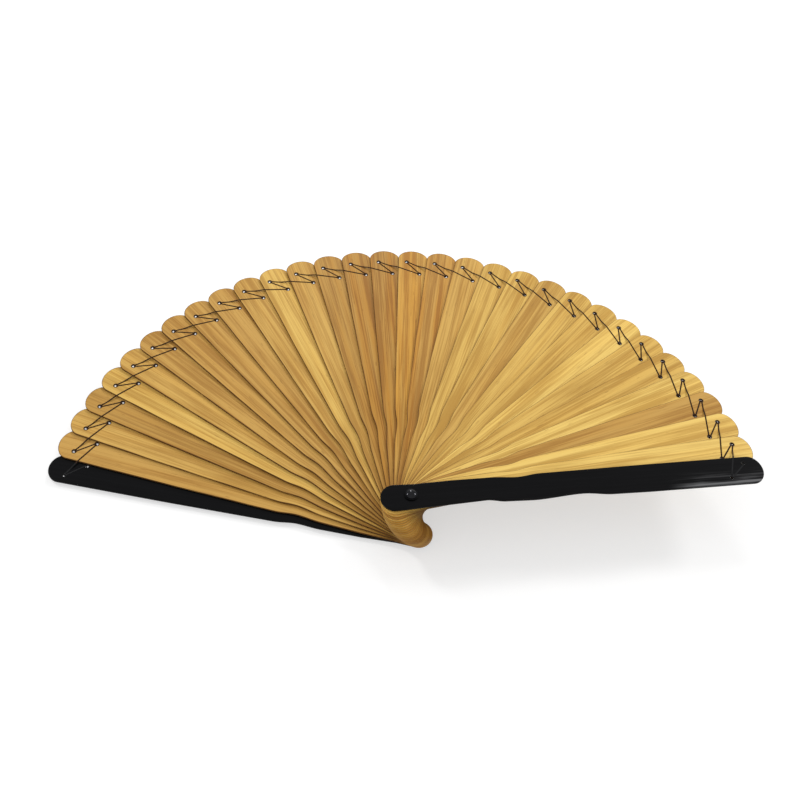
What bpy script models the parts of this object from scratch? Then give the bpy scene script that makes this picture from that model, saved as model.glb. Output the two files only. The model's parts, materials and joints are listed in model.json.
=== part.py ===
"""Folding hand fan of laced bamboo blades, shown open.

Thirty flat blades lie between two thicker, narrower guard sticks, all threaded
on one rivet.  Each leaf lies on the one to its left and is turned one step
clockwise from it, so the open fan is a low spiral stair.  A thread runs there
and back through two holes near the tip of every leaf and stops the fan opening
further.

Frame: metres, +Z along the rivet from the back guard to the front guard, the
origin on the rivet's axis at its flat back end, +Y through the middle of the
open fan.  In a leaf's own frame X runs from the rivet to the tip and Y to the
leaf's left, upper edge.
"""

import math

import bmesh
import bpy
from mathutils import Matrix, Vector

MM = 0.001

# Stack of leaves
BLADE_COUNT = 30
BLADE_THICKNESS = 1.0 * MM
GUARD_THICKNESS = 2.0 * MM
CLEARANCE = 0.3 * MM

# Opening: the steps between leaves are widest in the middle of the fan
FAN_SPREAD = math.radians(163.2)
FAN_MIDDLE = math.radians(90.0)
STEP_FALL = 0.12
STEP_LEAN = 0.039
FRONT_GUARD_TURN = math.radians(0.7)

# Leaf outline, measured from the rivet along the leaf and outward from its midline
TIP_REACH = 213.5 * MM
TIP_DOME_DEPTH = 8.0 * MM
TAIL_REACH = 17.5 * MM
TAIL_DOME_DEPTH = 8.5 * MM
OUTER_PART_REACH = 140.0 * MM
WIDEST_HALF_WIDTH = 9.3 * MM
GUARD_EDGE_BEVEL = 0.3 * MM

# Each edge of a blade lies this much further out than the guard's
BLADE_NECK_WIDENING = 0.6 * MM
BLADE_TIP_WIDENING = 1.0 * MM

# Left edge: a straight neck, a hollow and an S-shaped step out to the shoulder
LEFT_TAIL_HALF_WIDTH = 7.7 * MM
LEFT_WAIST_REACH = 3.0 * MM
LEFT_WAIST_HALF_WIDTH = 7.3 * MM
LEFT_NECK_START = 24.0 * MM
LEFT_NECK_END = 48.0 * MM
LEFT_NECK_HALF_WIDTH = 8.0 * MM
LEFT_HOLLOW_REACH = 63.0 * MM
LEFT_HOLLOW_HALF_WIDTH = 7.0 * MM
LEFT_SHOULDER_REACH = 77.0 * MM
LEFT_SHOULDER_HALF_WIDTH = 8.4 * MM
LEFT_OUTER_HALF_WIDTH = 9.1 * MM

# Right edge: a tapering neck and two hollows, each followed by a step out
RIGHT_TAIL_HALF_WIDTH = 8.9 * MM
RIGHT_HOLLOW_REACH = 43.0 * MM
RIGHT_HOLLOW_HALF_WIDTH = 6.4 * MM
RIGHT_SHOULDER_REACH = 54.0 * MM
RIGHT_SHOULDER_HALF_WIDTH = 8.1 * MM
RIGHT_WAIST_START = 70.0 * MM
RIGHT_WAIST_START_HALF_WIDTH = 8.7 * MM
RIGHT_WAIST_REACH = 100.0 * MM
RIGHT_WAIST_HALF_WIDTH = 6.9 * MM
RIGHT_BLADE_START = 118.0 * MM
RIGHT_BLADE_HALF_WIDTH = 8.8 * MM
RIGHT_OUTER_HALF_WIDTH = 9.2 * MM

# Lacing holes and thread
HOLE_RADIUS = 1.0 * MM
OUTER_HOLE_FROM_TIP = 10.9 * MM
INNER_HOLE_FROM_TIP = 21.4 * MM
HOLE_SIDE_OFFSET = 4.4 * MM
THREAD_DIAMETER = 0.5 * MM
THREAD_CLEARANCE = 0.2 * MM
THREAD_CROSSING_GAP = 0.15 * MM
STRAND_SPACING = 0.84 * MM
EDGE_MARGIN = 0.7 * MM

# Rivet and washers
SHANK_RADIUS = 1.6 * MM
RIVET_HEAD_RADIUS = 3.0 * MM
RIVET_HEAD_HEIGHT = 1.0 * MM
RIVET_HEAD_DIMPLE_RADIUS = 1.4 * MM
RIVET_HEAD_DIMPLE_DEPTH = 0.6 * MM
RIVET_END_RADIUS = 2.7 * MM
RIVET_END_HEIGHT = 0.7 * MM
WASHER_RADIUS = 3.8 * MM
WASHER_THICKNESS = 0.5 * MM

# Facets
DOME_STEPS = 12
TAIL_STEPS = 9
WAVE_STEPS = 4
HOLE_SIDES = 8
PIVOT_HOLE_SIDES = 12
TURNED_STEPS = 24
MERGE_DISTANCE = 0.001 * MM

LAST_LEAF = BLADE_COUNT + 1
TIP_BASE_REACH = TIP_REACH - TIP_DOME_DEPTH
TAIL_BASE_REACH = TAIL_DOME_DEPTH - TAIL_REACH
PIVOT_HOLE_RADIUS = SHANK_RADIUS + CLEARANCE
THREAD_RADIUS = THREAD_DIAMETER / 2

# Bamboo tones, from pale straw to the browner strips, as linear colours
BAMBOO_TONES = {
    "pale": (0.75, 0.50, 0.15),
    "straw": (0.64, 0.40, 0.11),
    "honey": (0.56, 0.33, 0.09),
    "tan": (0.50, 0.28, 0.075),
    "brown": (0.44, 0.24, 0.06),
}
BLADE_TONES = (
    "tan", "honey", "brown", "straw", "honey", "tan", "tan", "tan", "tan", "honey",
    "straw", "honey", "brown", "brown", "brown", "honey", "tan", "honey", "straw", "straw",
    "honey", "straw", "straw", "pale", "straw", "straw", "pale", "tan", "pale", "pale",
)
LACQUER_COLOUR = (0.008, 0.008, 0.009)
RIVET_COLOUR = (0.05, 0.05, 0.055)
THREAD_COLOUR = (0.035, 0.018, 0.010)


def clear_scene():
    for obj in list(bpy.data.objects):
        bpy.data.objects.remove(obj, do_unlink=True)


def new_collection(name):
    collection = bpy.data.collections.new(name)
    bpy.context.scene.collection.children.link(collection)
    return collection


def material(name, colour, roughness, metallic=0.0):
    made = bpy.data.materials.new(name)
    made.use_nodes = True
    shader = made.node_tree.nodes["Principled BSDF"]
    shader.inputs["Base Color"].default_value = (*colour, 1.0)
    shader.inputs["Roughness"].default_value = roughness
    shader.inputs["Metallic"].default_value = metallic
    return made


# Places in the stack

def opened(leaf):
    """Sum of the steps before a leaf, each step 1 + lean v - fall v squared, v from -1 to 1."""
    place = 2 * leaf / LAST_LEAF - 1
    return (place + 1) / 2 + STEP_LEAN * (place ** 2 - 1) / 4 - STEP_FALL * (place ** 3 + 1) / 6


def leaf_angle(leaf):
    """Direction of a leaf in the open fan, leaf 0 being the back guard."""
    turn_in = FRONT_GUARD_TURN if leaf == LAST_LEAF else 0.0
    return FAN_MIDDLE + FAN_SPREAD / 2 - FAN_SPREAD * opened(leaf) / opened(LAST_LEAF) + turn_in


def leaf_thickness(leaf):
    return GUARD_THICKNESS if leaf in (0, LAST_LEAF) else BLADE_THICKNESS


def back_washer_bottom():
    return RIVET_END_HEIGHT + CLEARANCE


def leaf_bottom(leaf):
    height = back_washer_bottom() + WASHER_THICKNESS + CLEARANCE
    for below in range(leaf):
        height += leaf_thickness(below) + CLEARANCE
    return height


def leaf_top(leaf):
    return leaf_bottom(leaf) + leaf_thickness(leaf)


def front_washer_bottom():
    return leaf_top(LAST_LEAF) + CLEARANCE


def rivet_head_bottom():
    return front_washer_bottom() + WASHER_THICKNESS + CLEARANCE


# Leaf outline

def wave(start, end):
    """Points of an S-shaped run from one (reach, half width) to the next, without the last."""
    points = []
    for step in range(WAVE_STEPS):
        share = step / WAVE_STEPS
        rise = share * share * (3 - 2 * share)
        points.append((start[0] + (end[0] - start[0]) * share, start[1] + (end[1] - start[1]) * rise))
    return points


def left_edge():
    """A guard's left edge from the tail to the tip's base, as (reach, half width)."""
    tail = (TAIL_BASE_REACH, LEFT_TAIL_HALF_WIDTH)
    waist = (LEFT_WAIST_REACH, LEFT_WAIST_HALF_WIDTH)
    neck = (LEFT_NECK_START, LEFT_NECK_HALF_WIDTH)
    neck_end = (LEFT_NECK_END, LEFT_NECK_HALF_WIDTH)
    hollow = (LEFT_HOLLOW_REACH, LEFT_HOLLOW_HALF_WIDTH)
    shoulder = (LEFT_SHOULDER_REACH, LEFT_SHOULDER_HALF_WIDTH)
    outer = (OUTER_PART_REACH, LEFT_OUTER_HALF_WIDTH)
    widest = (TIP_BASE_REACH, WIDEST_HALF_WIDTH)
    edge = [tail, waist, neck, *wave(neck_end, hollow)]
    edge += [*wave(hollow, shoulder), shoulder, outer, widest]
    return edge


def right_edge():
    """A guard's right edge from the tail to the tip's base, as (reach, half width)."""
    tail = (TAIL_BASE_REACH, RIGHT_TAIL_HALF_WIDTH)
    hollow = (RIGHT_HOLLOW_REACH, RIGHT_HOLLOW_HALF_WIDTH)
    shoulder = (RIGHT_SHOULDER_REACH, RIGHT_SHOULDER_HALF_WIDTH)
    waist_start = (RIGHT_WAIST_START, RIGHT_WAIST_START_HALF_WIDTH)
    waist = (RIGHT_WAIST_REACH, RIGHT_WAIST_HALF_WIDTH)
    blade = (RIGHT_BLADE_START, RIGHT_BLADE_HALF_WIDTH)
    outer = (OUTER_PART_REACH, RIGHT_OUTER_HALF_WIDTH)
    widest = (TIP_BASE_REACH, WIDEST_HALF_WIDTH)
    edge = [tail, *wave(hollow, shoulder), shoulder]
    edge += [*wave(waist_start, waist), *wave(waist, blade), blade, outer, widest]
    return edge


def widened(edge, neck_widening, tip_widening):
    """An edge moved outward, by one amount at the rivet and another at the tip's base."""
    moved = []
    for reach, width in edge:
        share = max(0.0, reach / TIP_BASE_REACH)
        moved.append((reach, width + neck_widening + (tip_widening - neck_widening) * share))
    return moved


def dome(base_reach, depth, right_width, left_width, steps):
    """Half an ellipse from the right edge over the leaf's end to the left edge."""
    middle = (left_width - right_width) / 2
    half_width = (left_width + right_width) / 2
    points = []
    for step in range(steps + 1):
        angle = math.pi * step / steps
        points.append((base_reach + depth * math.sin(angle), middle - half_width * math.cos(angle)))
    return points


def leaf_outline(neck_widening, tip_widening):
    """The closed outline of a leaf, counter-clockwise, in the leaf's own frame."""
    right = widened(right_edge(), neck_widening, tip_widening)
    left = widened(left_edge(), neck_widening, tip_widening)
    tip = dome(TIP_BASE_REACH, TIP_DOME_DEPTH, right[-1][1], left[-1][1], DOME_STEPS)
    tail = dome(TAIL_BASE_REACH, -TAIL_DOME_DEPTH, right[0][1], left[0][1], TAIL_STEPS)
    lower = [(reach, -width) for reach, width in right[1:-1]]
    return lower + tip + left[-2:0:-1] + tail[::-1]


def circle(centre, radius, sides):
    points = []
    for side in range(sides):
        angle = 2 * math.pi * (side + 0.5) / sides
        points.append((centre[0] + radius * math.cos(angle), centre[1] + radius * math.sin(angle)))
    return points


def outer_hole():
    return (TIP_REACH - OUTER_HOLE_FROM_TIP, HOLE_SIDE_OFFSET)


def inner_hole():
    return (TIP_REACH - INNER_HOLE_FROM_TIP, -HOLE_SIDE_OFFSET)


def add_spline(curve, points):
    spline = curve.splines.new("POLY")
    spline.points.add(len(points) - 1)
    for point, place in zip(spline.points, points):
        height = place[2] if len(place) == 3 else 0.0
        point.co = (place[0], place[1], height, 1.0)
    spline.use_cyclic_u = True


def even_out_caps(shape):
    """Turns the long thin triangles of the flat faces into more even ones."""
    caps = [face for face in shape.faces if abs(face.normal.z) > 0.5]
    inner = [edge for edge in shape.edges if all(abs(face.normal.z) > 0.5 for face in edge.link_faces)]
    bmesh.ops.beautify_fill(shape, faces=caps, edges=inner)


def mesh_from_curve(curve, name):
    """The curve's solid as a mesh with its caps welded on."""
    curve_is_flat = curve.dimensions == "2D"
    guide = bpy.data.objects.new(name + "_guide", curve)
    bpy.context.scene.collection.objects.link(guide)
    graph = bpy.context.evaluated_depsgraph_get()
    mesh = bpy.data.meshes.new_from_object(guide.evaluated_get(graph))
    bpy.data.objects.remove(guide, do_unlink=True)
    bpy.data.curves.remove(curve)
    mesh.name = name
    shape = bmesh.new()
    shape.from_mesh(mesh)
    bmesh.ops.remove_doubles(shape, verts=shape.verts, dist=MERGE_DISTANCE)
    bmesh.ops.recalc_face_normals(shape, faces=shape.faces)
    if curve_is_flat:
        even_out_caps(shape)
    shape.to_mesh(mesh)
    shape.free()
    return mesh


def leaf_mesh(name, thickness, neck_widening, tip_widening):
    """A flat leaf with its rivet hole and its two lacing holes, centred on its mid plane."""
    curve = bpy.data.curves.new(name, "CURVE")
    curve.dimensions = "2D"
    curve.fill_mode = "BOTH"
    curve.extrude = thickness / 2
    add_spline(curve, leaf_outline(neck_widening, tip_widening))
    add_spline(curve, circle((0.0, 0.0), PIVOT_HOLE_RADIUS, PIVOT_HOLE_SIDES))
    add_spline(curve, circle(outer_hole(), HOLE_RADIUS, HOLE_SIDES))
    add_spline(curve, circle(inner_hole(), HOLE_RADIUS, HOLE_SIDES))
    return mesh_from_curve(curve, name)


# Leaves

def add_leaf(collection, axis, name, mesh, leaf, surface):
    obj = bpy.data.objects.new(name, mesh)
    obj.parent = axis
    obj.location = (0.0, 0.0, leaf_bottom(leaf) + leaf_thickness(leaf) / 2)
    obj.rotation_euler = (0.0, 0.0, leaf_angle(leaf))
    collection.objects.link(obj)
    if not mesh.materials:
        mesh.materials.append(surface)
    obj.material_slots[0].link = "OBJECT"
    obj.material_slots[0].material = surface
    return obj


def add_edge_bevel(obj):
    bevel = obj.modifiers.new("rounded_edges", "BEVEL")
    bevel.width = GUARD_EDGE_BEVEL
    bevel.segments = 1
    bevel.limit_method = "ANGLE"
    bevel.angle_limit = math.radians(60.0)


def add_leaves(collection, axis):
    lacquer = material("black_lacquer", LACQUER_COLOUR, 0.25)
    guard = leaf_mesh("guard", GUARD_THICKNESS, 0.0, 0.0)
    add_edge_bevel(add_leaf(collection, axis, "guard_back", guard, 0, lacquer))
    add_edge_bevel(add_leaf(collection, axis, "guard_front", guard, LAST_LEAF, lacquer))
    blade = leaf_mesh("blade", BLADE_THICKNESS, BLADE_NECK_WIDENING, BLADE_TIP_WIDENING)
    tones = {name: material("bamboo_" + name, colour, 0.5) for name, colour in BAMBOO_TONES.items()}
    for leaf in range(1, LAST_LEAF):
        tone = BLADE_TONES[(leaf - 1) % len(BLADE_TONES)]
        add_leaf(collection, axis, f"blade_{leaf:02d}", blade, leaf, tones[tone])


# Rivet and washers

def turned(collection, axis, name, profile, surface):
    """A solid of revolution from (radius, height) points, down the outside."""
    mesh = bpy.data.meshes.new(name)
    vertices = [(radius, 0.0, height) for radius, height in profile]
    edges = [(index, index + 1) for index in range(len(profile) - 1)]
    if profile[0][0] > 0.0:
        edges.append((len(profile) - 1, 0))
    mesh.from_pydata(vertices, edges, [])
    mesh.materials.append(surface)
    obj = bpy.data.objects.new(name, mesh)
    obj.parent = axis
    collection.objects.link(obj)
    screw = obj.modifiers.new("turning", "SCREW")
    screw.steps = TURNED_STEPS
    screw.render_steps = TURNED_STEPS
    screw.use_merge_vertices = True
    screw.merge_threshold = MERGE_DISTANCE
    screw.use_smooth_shade = True
    return obj


def add_rivet(collection, axis, metal):
    """Rolled, dimpled head over the front guard, shank, and flat set end behind."""
    under = rivet_head_bottom()
    crown = under + RIVET_HEAD_HEIGHT
    lip = (RIVET_HEAD_RADIUS + RIVET_HEAD_DIMPLE_RADIUS) / 2
    roll = (RIVET_HEAD_RADIUS - RIVET_HEAD_DIMPLE_RADIUS) / 2
    profile = [(0.0, crown - RIVET_HEAD_DIMPLE_DEPTH)]
    for step in range(7):
        angle = math.pi * step / 6
        height = crown - RIVET_HEAD_DIMPLE_DEPTH * (1 - math.sin(angle))
        profile.append((lip - roll * math.cos(angle), height))
    profile.append((RIVET_HEAD_RADIUS, under))
    profile.append((SHANK_RADIUS, under))
    profile.append((SHANK_RADIUS, RIVET_END_HEIGHT))
    profile.append((RIVET_END_RADIUS, RIVET_END_HEIGHT))
    profile.append((RIVET_END_RADIUS, 0.0))
    profile.append((0.0, 0.0))
    return turned(collection, axis, "rivet", profile, metal)


def add_washer(collection, axis, name, bottom, metal):
    top = bottom + WASHER_THICKNESS
    bore = PIVOT_HOLE_RADIUS
    profile = [(bore, top), (WASHER_RADIUS, top), (WASHER_RADIUS, bottom), (bore, bottom)]
    return turned(collection, axis, name, profile, metal)


# Lacing

def in_fan(leaf, place, height):
    """A point of a leaf's own frame, at a height, in the open fan."""
    angle = leaf_angle(leaf)
    along = Vector((math.cos(angle), math.sin(angle)))
    across = Vector((-math.sin(angle), math.cos(angle)))
    flat = along * place[0] + across * place[1]
    return Vector((flat.x, flat.y, height))


def strand_places():
    """Where the two strands pass the outer and the inner hole, side by side."""
    run = Vector(outer_hole()) - Vector(inner_hole())
    side = Vector((run.y, -run.x)).normalized() * (STRAND_SPACING / 2)
    outer = Vector(outer_hole())
    inner = Vector(inner_hole())
    return {"outer_right": outer + side, "outer_left": outer - side,
            "inner_right": inner + side, "inner_left": inner - side}


def crossing(start, end, leaf, offset, height):
    """The point of the run from start to end that lies over a leaf's line y = offset."""
    angle = leaf_angle(leaf)
    across = Vector((-math.sin(angle), math.cos(angle)))
    first = across.dot(start.xy)
    last = across.dot(end.xy)
    share = (offset - first) / (last - first)
    flat = start.xy.lerp(end.xy, share)
    return Vector((flat.x, flat.y, height))


def lacing_route():
    """The thread's centre line: out over the leaves, round the last one and back, closed."""
    places = strand_places()
    rise = THREAD_CLEARANCE + THREAD_RADIUS
    sag = rise + THREAD_DIAMETER + THREAD_CROSSING_GAP
    clear_of_edge = WIDEST_HALF_WIDTH + BLADE_TIP_WIDENING + EDGE_MARGIN
    route = []
    for leaf in range(LAST_LEAF):
        following = leaf + 1
        start = in_fan(leaf, places["outer_right"], leaf_top(leaf) + rise)
        end = in_fan(following, places["inner_left"], leaf_top(following) + rise)
        over_edge = crossing(start, end, following, clear_of_edge, end.z)
        below = leaf_bottom(following) - rise
        down = in_fan(following, places["inner_left"], below)
        across = in_fan(following, places["outer_right"], below)
        route += [start, over_edge, end, down, across]
    top = leaf_top(LAST_LEAF) + rise
    route.append(in_fan(LAST_LEAF, places["outer_right"], top))
    route.append(in_fan(LAST_LEAF, places["inner_right"], top))
    for leaf in range(LAST_LEAF - 1, -1, -1):
        following = leaf + 1
        start = in_fan(following, places["inner_right"], leaf_bottom(following) - sag)
        end = in_fan(leaf, places["outer_left"], leaf_bottom(leaf) - sag)
        under_edge = crossing(start, end, leaf, -clear_of_edge, end.z)
        up = in_fan(leaf, places["outer_left"], leaf_top(leaf) + rise)
        across = in_fan(leaf, places["inner_right"], leaf_top(leaf) + rise)
        route += [start, under_edge, end, up, across]
    route.append(in_fan(0, places["inner_right"], leaf_bottom(0) - rise))
    route.append(in_fan(0, places["outer_right"], leaf_bottom(0) - rise))
    return route


def add_lacing(collection, axis):
    curve = bpy.data.curves.new("lacing_thread", "CURVE")
    curve.dimensions = "3D"
    curve.bevel_depth = THREAD_RADIUS
    curve.bevel_resolution = 0
    add_spline(curve, lacing_route())
    mesh = mesh_from_curve(curve, "lacing_thread")
    mesh.materials.append(material("dark_thread", THREAD_COLOUR, 0.8))
    obj = bpy.data.objects.new("lacing_thread", mesh)
    obj.parent = axis
    collection.objects.link(obj)


def build():
    clear_scene()
    fan = new_collection("fire_fan")
    axis = bpy.data.objects.new("rivet_axis", None)
    fan.objects.link(axis)
    add_leaves(fan, axis)
    metal = material("blackened_steel", RIVET_COLOUR, 0.3, 1.0)
    add_rivet(fan, axis, metal)
    add_washer(fan, axis, "washer_back", back_washer_bottom(), metal)
    add_washer(fan, axis, "washer_front", front_washer_bottom(), metal)
    add_lacing(fan, axis)


build()
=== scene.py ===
"""Looks of an open folding hand fan: laced bamboo blades between black guard sticks."""

import json
import math

import bmesh
import bpy
from bpy.props import FloatProperty, FloatVectorProperty, IntProperty, PointerProperty
from mathutils import Matrix, Vector


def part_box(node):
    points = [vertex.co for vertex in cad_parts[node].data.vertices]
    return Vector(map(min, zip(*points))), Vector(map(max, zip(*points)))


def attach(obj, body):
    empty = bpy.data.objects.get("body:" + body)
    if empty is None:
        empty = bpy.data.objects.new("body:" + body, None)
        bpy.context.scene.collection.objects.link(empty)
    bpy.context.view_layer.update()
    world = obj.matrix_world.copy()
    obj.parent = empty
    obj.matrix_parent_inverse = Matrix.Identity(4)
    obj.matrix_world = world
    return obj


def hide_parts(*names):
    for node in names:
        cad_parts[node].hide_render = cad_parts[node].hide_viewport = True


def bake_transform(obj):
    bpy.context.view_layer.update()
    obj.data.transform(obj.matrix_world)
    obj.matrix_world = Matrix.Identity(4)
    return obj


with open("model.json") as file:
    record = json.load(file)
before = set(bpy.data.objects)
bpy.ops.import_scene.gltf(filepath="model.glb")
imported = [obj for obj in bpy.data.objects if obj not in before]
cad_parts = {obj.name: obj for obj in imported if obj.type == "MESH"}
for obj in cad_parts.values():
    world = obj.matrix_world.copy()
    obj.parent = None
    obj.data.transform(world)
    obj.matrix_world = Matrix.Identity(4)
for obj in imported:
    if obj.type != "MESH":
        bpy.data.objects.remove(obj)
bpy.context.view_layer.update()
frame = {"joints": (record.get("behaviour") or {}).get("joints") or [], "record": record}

bl_info = {
    "name": "Folding Bamboo Fan",
    "version": (1, 0, 0),
    "blender": (4, 5, 0),
    "location": "3D View > Sidebar > Fan",
    "description": "Builds the blades, guards, rivet and lacing of an open folding fan",
    "category": "Add Mesh",
}

MM = 0.001

# The leaves from the back guard to the front one, in the order of the fold joints
LEAVES = ["guard_back"] + [joint["child"].removesuffix("_body") for joint in frame["joints"]]
STEPS = [math.radians(joint["range_deg"][1]) for joint in frame["joints"]]
LAST = len(LEAVES) - 1
FIRST_DIRECTION = math.radians(171.6)
SLOTS = {part["node"]: part["material_slot"] for part in frame["record"]["subparts"]}
COLOURS = {entry["slot"]: tuple(entry["base_color"]) for entry in frame["record"]["materials"]}

# A leaf's edges from tail to tip, in mm: reach from the rivet, half width there, and whether an
# S-shaped run follows
LEFT_EDGE = (
    (-9.0, 7.7, False), (3.0, 7.3, False), (24.0, 8.0, False), (48.0, 8.0, True),
    (63.0, 7.0, True), (77.0, 8.4, False), (140.0, 9.1, False), (205.5, 9.3, False),
)
RIGHT_EDGE = (
    (-9.0, 8.9, False), (43.0, 6.4, True), (54.0, 8.1, False), (70.0, 8.7, True),
    (100.0, 6.9, True), (118.0, 8.8, False), (140.0, 9.2, False), (205.5, 9.3, False),
)
S_RUN_STEPS = 10
TIP_BASE_REACH = 205.5 * MM
TIP_DOME_DEPTH = 8.0 * MM
TIP_DOME_STEPS = 36
TAIL_DOME_DEPTH = 8.5 * MM
TAIL_DOME_STEPS = 28

# How much wider a blade is than a guard, and what sanding takes off every leaf's outline
BLADE_NECK_WIDENING = 0.6 * MM
BLADE_TIP_WIDENING = 1.0 * MM
SANDED_OFF = 0.05 * MM

# Rounded edges: a small radius takes fewer segments than a broad one. The rim beside them is a
# setting of the blades, and this wide on the guards
FINE_ROUNDING = 0.3 * MM
FINE_SEGMENTS = 3
BROAD_SEGMENTS = 6
GUARD_RIM_WIDTH = 0.6 * MM

# How squarely a face looks up or down to count as a leaf's cap, and as flat
CAP_FACING = 0.9
FLAT_FACING = 0.9999

# Values of the rim attribute: on a leaf's flat middle, at its cut edge and at a lacing hole
RIM_NONE, RIM_CUT, RIM_HOLE = 0.0, 1.0, 2.0

# Holes in a leaf's own frame
PIVOT_HOLE_RADIUS = 1.9 * MM
PIVOT_HOLE_SIDES = 40
HOLE_RADIUS = 1.0 * MM
HOLE_SIDES = 24
OUTER_HOLE = Vector((202.6, 4.4, 0.0)) * MM
INNER_HOLE = Vector((192.1, -4.4, 0.0)) * MM
LACING_HOLES = (OUTER_HOLE, INNER_HOLE)

# Rivet
SHANK_RADIUS = 1.6 * MM
HEAD_RADIUS = 3.0 * MM
HEAD_HEIGHT = 1.0 * MM
END_RADIUS = 2.7 * MM
END_HEIGHT = 0.7 * MM
CROWN_STEPS = 16
TURNED_BEVEL = 0.08 * MM
BEVELLED_FROM = math.radians(60.0)
SHARP_FROM = math.radians(50.0)

# How far the thread's middle lies off a leaf's face, and under it where a strand comes between
STRAND_RISE = 0.05 * MM
STRAND_SAG = 0.15 * MM

# The two strands in a hole: their spacing, and their pull towards the leaf's other hole
STRAND_SPACING = 0.84 * MM
TAUT_PULL = 0.45 * MM
SLACK_PULL = 0.05 * MM
LAST_TAUT_LEAF = 18

# A run's way past the edge of the next leaf: its distance from that edge, the length of the climb
# before it, and how far before the climb's end a settled point is worked out, which the run does
# not use
OFF_THE_EDGE = 0.45 * MM
CLIMB_LENGTH = 6.0 * MM
SETTLED = 0.8 * MM

# How far from its hole a stitch ends: above a leaf, in bends of the thread, and below it. A run
# starts a little sooner, inside the stitch's end
LEAD_IN_BENDS = 2.2
LEAD_BELOW = 2.6 * MM
HANDOVER_SHARE = 0.9

# How far a strand under a leaf stays level, until it is past the other strand
LEVEL_BELOW = 1.5 * MM

# Fineness of the thread
THREAD_SIDES = 8
CORNER_STEPS = 4
LONGEST_CORNER_SHARE = 0.45
RUN_SPACING = 2.0 * MM
STITCH_SPACING = 4.0 * MM

# Fineness of the bamboo's patterns, in waves per metre along, across and through a leaf
FIBRES = (26.0, 1500.0, 900.0)
BANDS = (7.0, 300.0, 150.0)
CLOUDS = (16.0, 70.0, 40.0)
FLECKS = (130.0, 1150.0, 700.0)
VEINS = (3.5, 640.0, 200.0)
WARM_PATCHES = (9.0, 160.0, 80.0)
SCORCH_PATCHES = (45.0, 150.0, 90.0)

# Tints of the bamboo, as shares of its colour, and colours that it is multiplied by
DARK_GRAIN = (0.77, 0.69, 0.48)
LIGHT_GRAIN = (1.16, 1.20, 1.08)
FLECK_TINT = (0.45, 0.36, 0.25)
VEIN_TINT = (0.62, 0.52, 0.40)
# Partly painted light: the sanded tail's lighter tint
SANDED_PAINTED_LIGHT_TINT = (1.30, 1.12, 0.80)
WARM_WASH = (0.94, 0.76, 0.42)
NEAR_RIVET_TINT = (0.80, 0.66, 0.50)
CHAR = (0.020, 0.009, 0.005)

# How far a leaf's grain is moved for each leaf before it, so that no two match
GRAIN_SHIFT = (0.613, 0.0471, 0.0173)

# Leaves, counted from the back guard, between which a look fades in or out
# Painted light: the leaves over which the lightening of the left leaves fades out
LIGHTENED_LEAVES_END = (7.0, 9.5)
WARM_LEAVES_START = (11.5, 15.0)
WARM_LEAVES_END = (17.0, 18.5)
# Painted shadow: the leaves over which the widened dark edges of the left leaves fade out
PAINTED_EDGE_SHADOW_END = (17.0, 22.0)

# Reaches between which the sanded tail, lightened there as painted light, and the darker neck of
# a blade fade out, and radii between which the charred ring round a lacing hole does
SANDED_PAINTED_LIGHT_END = (-12.0 * MM, 6.0 * MM)
NEAR_RIVET_END = (-5.0 * MM, 60.0 * MM)
CHARRED_RING = (HOLE_RADIUS + 0.25 * MM, HOLE_RADIUS + 0.95 * MM)

# Guards: fineness of the brush strokes and clouds, where the front guard's band and streaks of
# painted sheen (a painted highlight, partly wear) lie along it and across it, and the tones of
# worn edges and of strokes
STROKES = (22.0, 1300.0, 800.0)
LACQUER_CLOUDS = (38.0, 160.0, 90.0)
WEAR_AND_SHEEN_REACH = (150.0 * MM, 172.0 * MM)
SHEEN_BAND_START = (6.6 * MM, 7.6 * MM)
SHEEN_BAND_END = (8.0 * MM, 9.0 * MM)
SHEEN_STREAKS_HALF = (-2.0 * MM, 8.0 * MM)
EDGE_WEAR = (0.030, 0.027, 0.026)
STROKE_BLACK = (0.009, 0.009, 0.010)

# Steel: turning marks in radians per metre, spots in waves per metre, and the radii between which
# the polish of the head fades out
TURNING_MARKS = 60000.0
SPOTS = (900.0, 900.0, 900.0)
POLISHED_END = (2.95 * MM, 3.15 * MM)

# Thread: hairs round and along it, its black on the guards, and the heights over which it fades:
# below the front guard's outer face, and above the back guard's inner one
HAIRS = (3.0, 3.0, 4000.0)
THREAD_BLACK = (0.017, 0.017, 0.018)
FRONT_FADE = 0.3 * MM
BACK_FADE = (1.0 * MM, 1.3 * MM)

# Stage
SENSOR_WIDTH = 36.0
CLIP_START = 0.01
CAMERA_AIM = Vector((-0.00209, 0.10078, 0.0))
LAMP_AIM = (0.0, 0.10, 0.02)
KEY_PLACE = (1.28, 0.86, 1.16)
LEFT_PLACE = (-0.83, 0.48, 0.92)
BACK_PLACE = (-0.01, 1.19, 0.58)
KEY_SIZE = 0.40
FILL_SIZE = 0.20
BACK_LAMP_SHARE = 1.1
FLOOR_GLOW = (0.55, 0.55, 0.55)


class FanBladeSettings(bpy.types.PropertyGroup):
    rounding: FloatProperty(
        name="Edge Rounding", description="Radius of a blade's eased edges",
        default=0.12 * MM, min=0.02 * MM, max=0.4 * MM, subtype="DISTANCE", unit="LENGTH")
    scorch_width: FloatProperty(
        name="Scorch Width", description="Width of the browned rim that the laser leaves",
        default=0.60 * MM, min=0.1 * MM, max=1.5 * MM, subtype="DISTANCE", unit="LENGTH")
    scorch_colour: FloatVectorProperty(
        name="Scorch", description="Colour of the scorched edges",
        default=(0.125, 0.050, 0.010), min=0.0, max=1.0, size=3, subtype="COLOR")
    contrast: FloatProperty(
        name="Grain Contrast", description="Strength of the streaks along the blades",
        default=1.65, min=0.0, max=2.0, subtype="FACTOR")


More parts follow.
